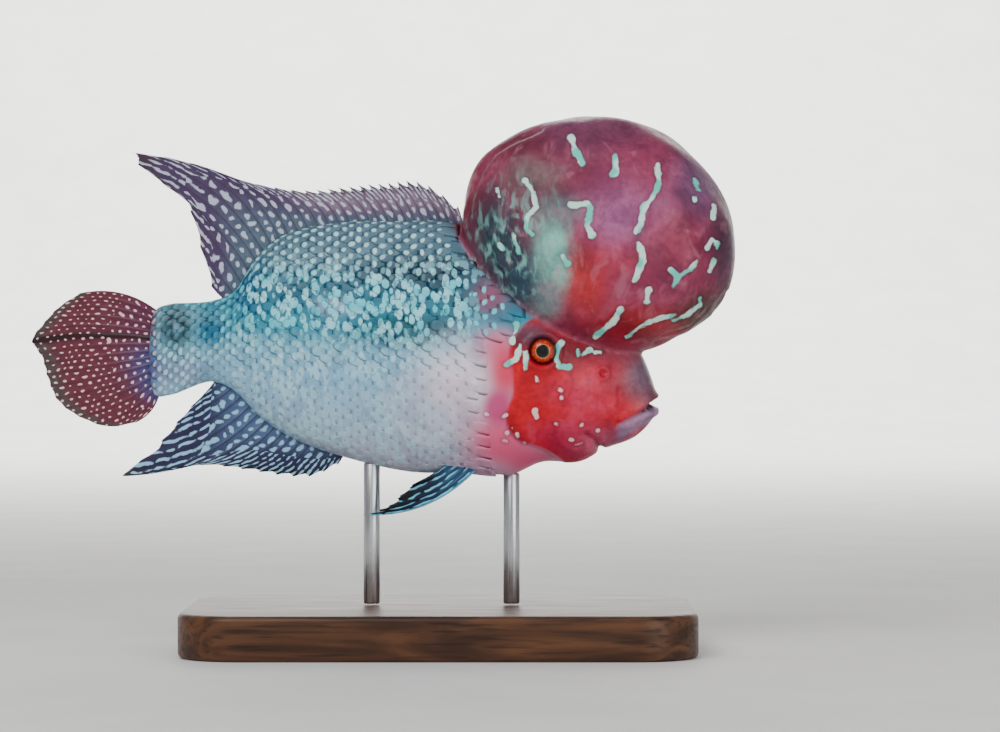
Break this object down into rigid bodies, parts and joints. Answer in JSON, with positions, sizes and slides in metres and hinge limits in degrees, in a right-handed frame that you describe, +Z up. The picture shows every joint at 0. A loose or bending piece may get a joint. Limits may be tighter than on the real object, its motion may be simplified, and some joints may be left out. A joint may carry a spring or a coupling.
{
  "type": "flowerhorn cichlid",
  "caption": "Still life-size model of a flowerhorn cichlid with a large round nuchal hump, all fins spread, held level on two short rods above a flat base.",
  "frame": {"origin": "centre of the stand base's flat underside", "axes": "+X towards the snout, +Y to the fish's left side, +Z up; the fish's middle plane is Y = 0"},
  "size_m": [0.1285, 0.056, 0.0969],
  "materials": {
    "skin": "wet fish skin, satin to gloss, pearl scales over dark green and rose red",
    "fin": "satin fin membrane with raised rays and pale dots",
    "clear_fin": "pale, nearly clear satin membrane with raised rays",
    "eye": "glossy, orange red iris round a black pupil",
    "stand_wood": "dark walnut, satin lacquer",
    "stand_steel": "brushed along the rod"
  },
  "bodies": {
    "root": {"trunk": "skin", "head": "skin", "lower_jaw": "skin", "gill_cover_right": "skin", "gill_cover_left": "skin", "nuchal_hump": "skin", "eye_right": "eye", "eye_left": "eye", "dorsal_fin": "fin", "anal_fin": "fin", "caudal_fin": "fin", "pelvic_fin_right": "fin", "pelvic_fin_left": "fin", "pectoral_fin_right": "clear_fin", "pectoral_fin_left": "clear_fin", "stand_base": "stand_wood", "stand_rod_front": "stand_steel", "stand_rod_rear": "stand_steel"}
  },
  "joints": []
}
